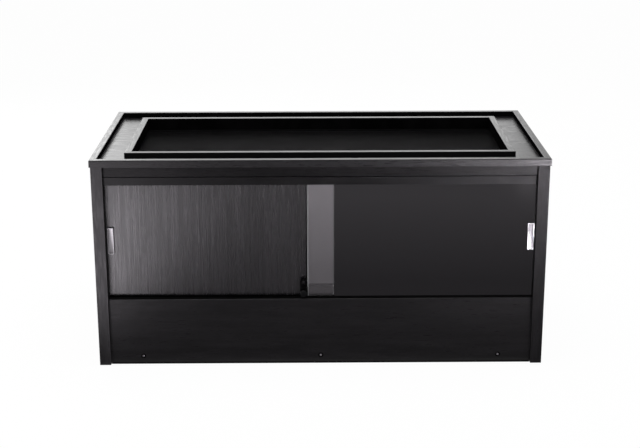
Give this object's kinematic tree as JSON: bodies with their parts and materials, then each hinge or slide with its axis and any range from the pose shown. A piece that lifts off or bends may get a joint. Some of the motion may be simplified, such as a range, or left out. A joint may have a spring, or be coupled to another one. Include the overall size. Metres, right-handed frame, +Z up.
{
  "type": "terrarium cabinet",
  "caption": "Long, low terrarium cabinet of black wood-grain board on a tall plinth, with sliding glass doors, a small lock and a lift-out mesh lid inside a raised rim.",
  "frame": {"origin": "on the ground, under the middle of the footprint", "axes": "+X to the right of someone who looks at the glass doors, +Y from the front towards the back, +Z up"},
  "size_m": [1.2, 0.6, 0.5735],
  "materials": {
    "black_board": "black wood-grain foil on board, satin, grain along each board",
    "black_track": "black extruded channel, satin",
    "clear_glass": "clear float glass, ground edges",
    "satin_aluminium": "satin anodised, brushed along its length",
    "black_moulding": "black moulding, satin",
    "dark_metal": "dark plated, turned",
    "black_wire": "black coated wire",
    "black_screw": "black zinc, countersunk cross recess",
    "black_rubber": "matt black"
  },
  "bodies": {
    "cabinet": {"back_panel": "black_board", "floor_panel": "black_board", "glide_front_left": "black_rubber", "glide_front_right": "black_rubber", "glide_rear_left": "black_rubber", "glide_rear_right": "black_rubber", "header_rail": "black_board", "left_screw_back_high": "black_screw", "left_screw_back_low": "black_screw", "left_screw_deck_front": "black_screw", "left_screw_deck_rear": "black_screw", "left_screw_floor_front": "black_screw", "left_screw_floor_rear": "black_screw", "left_screw_header": "black_screw", "left_screw_plinth_high": "black_screw", "left_screw_plinth_low": "black_screw", "left_side_panel": "black_board", "lower_glass_track": "black_track", "plinth_board": "black_board", "plinth_screw_centre": "black_screw", "plinth_screw_left": "black_screw", "plinth_screw_right": "black_screw", "right_screw_back_high": "black_screw", "right_screw_back_low": "black_screw", "right_screw_deck_front": "black_screw", "right_screw_deck_rear": "black_screw", "right_screw_floor_front": "black_screw", "right_screw_floor_rear": "black_screw", "right_screw_header": "black_screw", "right_screw_plinth_high": "black_screw", "right_screw_plinth_low": "black_screw", "right_side_panel": "black_board", "rim_back": "black_board", "rim_front": "black_board", "rim_left": "black_board", "rim_right": "black_board", "top_deck": "black_board", "upper_glass_track": "black_track"},
    "left_door": {"left_glass": "clear_glass", "left_finger_pull": "satin_aluminium"},
    "right_door": {"right_glass": "clear_glass", "right_finger_pull": "satin_aluminium", "lock_plate": "black_moulding", "lock_barrel": "dark_metal", "lock_pad": "black_rubber"},
    "lock_plug_body": {"lock_plug": "dark_metal"},
    "lid": {"lid_back_bar": "black_board", "lid_front_bar": "black_board", "lid_left_bar": "black_board", "lid_mesh": "black_wire", "lid_right_bar": "black_board", "mesh_back_batten": "black_board", "mesh_front_batten": "black_board", "mesh_left_batten": "black_board", "mesh_right_batten": "black_board"}
  },
  "joints": [
    {"name": "left_door_slide", "type": "slide", "parent": "cabinet", "child": "left_door", "axis": [1, 0, 0], "range_m": [0, 0.53]},
    {"name": "right_door_slide", "type": "slide", "parent": "cabinet", "child": "right_door", "axis": [-1, 0, 0], "range_m": [0, 0.51]},
    {"name": "lock_turn", "type": "hinge", "parent": "right_door", "child": "lock_plug_body", "pos_m": [-0.046, -0.285, 0.203], "axis": [0, 1, 0], "range_deg": [0, 90]},
    {"name": "lid_lift", "type": "slide", "parent": "cabinet", "child": "lid", "axis": [0, 0, 1], "range_m": [0, 0.12]}
  ]
}
